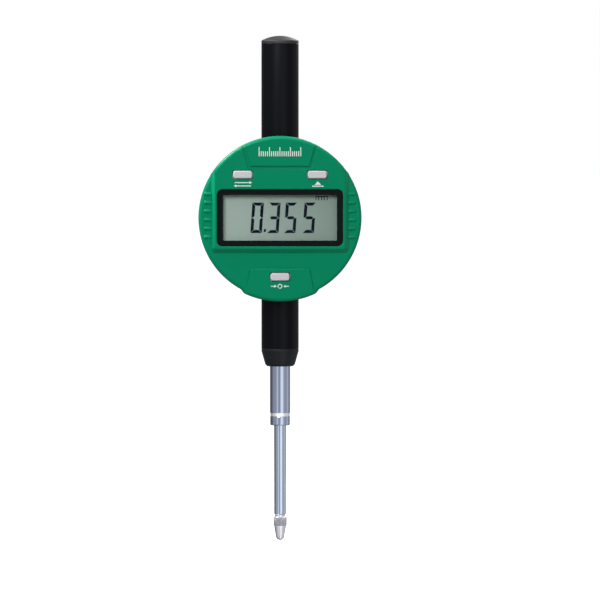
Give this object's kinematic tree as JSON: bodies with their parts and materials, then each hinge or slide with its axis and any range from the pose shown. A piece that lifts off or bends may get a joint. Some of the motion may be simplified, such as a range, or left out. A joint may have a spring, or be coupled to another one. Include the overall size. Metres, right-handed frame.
{
  "type": "dial indicator",
  "caption": "Digital dial indicator: round case with display and three buttons, clamping stem, sprung plunger with ball contact and dust cap tube.",
  "frame": {"origin": "on the spindle's axis at the nose's lower face, the shoulder where the clamping stem begins", "axes": "+Z along the spindle, up from the contact point to the case and the cap; the display faces -Y; +X is to the right seen from the front"},
  "size_m": [0.0644, 0.0263, 0.1998],
  "materials": {
    "green_abs": "fine satin moulding",
    "black_moulding": "fine spark-eroded texture",
    "black_rubber": "matt",
    "screw_steel": "zinc plated",
    "bezel_gloss": "gloss",
    "clear_window": "clear acrylic",
    "lcd_glass": "grey-green polariser",
    "reflector_film": "matt",
    "white_nylon": "moulded",
    "pink_silicone": "matt",
    "button_plastic": "fine satin moulding",
    "switch_plastic": "moulded",
    "board_laminate": "solder mask",
    "chip_epoxy": "moulded",
    "tinned_can": "plated",
    "inner_moulding": "moulded",
    "cell_steel": "nickel plated",
    "contact_brass": "plated",
    "black_anodised": "black anodised",
    "cap_plastic": "satin",
    "nose_anodised": "black anodised",
    "stem_steel": "ground",
    "spindle_steel": "ground and polished",
    "bush_bronze": "sintered",
    "point_steel": "knurled, plated",
    "ball_carbide": "polished",
    "carriage_zinc": "cast",
    "spring_wire": "drawn"
  },
  "bodies": {
    "case": {"front_cover": "green_abs", "rear_housing": "black_moulding", "back_cover": "black_moulding", "case_gasket": "black_rubber", "case_screws": "screw_steel", "display_bezel": "bezel_gloss", "display_window": "clear_window", "lcd_panel": "lcd_glass", "lcd_reflector": "reflector_film", "lcd_frame": "white_nylon", "lcd_connectors": "pink_silicone", "tact_switches": "switch_plastic", "main_board": "board_laminate", "board_screws": "screw_steel", "processor_chip": "chip_epoxy", "crystal_can": "tinned_can", "battery_holder": "inner_moulding", "battery_cell": "cell_steel", "battery_contact_plus": "contact_brass", "battery_contact_minus": "contact_brass", "upper_tube": "black_anodised", "lower_tube": "black_anodised", "nose_cone": "nose_anodised", "stem": "stem_steel", "stem_end_ring": "stem_steel", "wiper_seal": "black_rubber", "lower_bush": "bush_bronze", "middle_bush": "bush_bronze", "upper_bush": "bush_bronze", "stop_buffer": "black_rubber", "guide_rod": "spindle_steel", "return_spring": "spring_wire"},
    "spindle": {"spindle": "spindle_steel", "contact_point": "point_steel", "contact_ball": "ball_carbide", "carriage": "carriage_zinc", "carriage_screw": "screw_steel", "slider_plate": "board_laminate"},
    "units_key": {"units_button": "button_plastic"},
    "origin_key": {"origin_button": "button_plastic"},
    "zero_key": {"zero_button": "button_plastic"},
    "battery_lid": {"battery_cover": "black_moulding", "battery_cover_seal": "black_rubber"},
    "cap": {"tube_cap": "cap_plastic"}
  },
  "joints": [
    {"name": "spindle_slide", "type": "slide", "parent": "case", "child": "spindle", "axis": [0, 0, 1], "range_m": [0, 0.026], "stiffness_N_per_m": 20, "springref_m": -0.06, "deforming": ["return_spring"]},
    {"name": "units_press", "type": "slide", "parent": "case", "child": "units_key", "axis": [0, 1, 0], "range_m": [0, 0.0005], "stiffness_N_per_m": 1500, "springref_m": -0.0003},
    {"name": "origin_press", "type": "slide", "parent": "case", "child": "origin_key", "axis": [0, 1, 0], "range_m": [0, 0.0005], "stiffness_N_per_m": 1500, "springref_m": -0.0003},
    {"name": "zero_press", "type": "slide", "parent": "case", "child": "zero_key", "axis": [0, 1, 0], "range_m": [0, 0.0005], "stiffness_N_per_m": 1500, "springref_m": -0.0003},
    {"name": "battery_lid_twist", "type": "hinge", "parent": "case", "child": "battery_lid", "pos_m": [0.01727, 0.009, 0.059], "axis": [0, 1, 0], "range_deg": [0, 45]},
    {"name": "cap_pull", "type": "slide", "parent": "case", "child": "cap", "axis": [0, 0, 1], "range_m": [0, 0.004]}
  ]
}
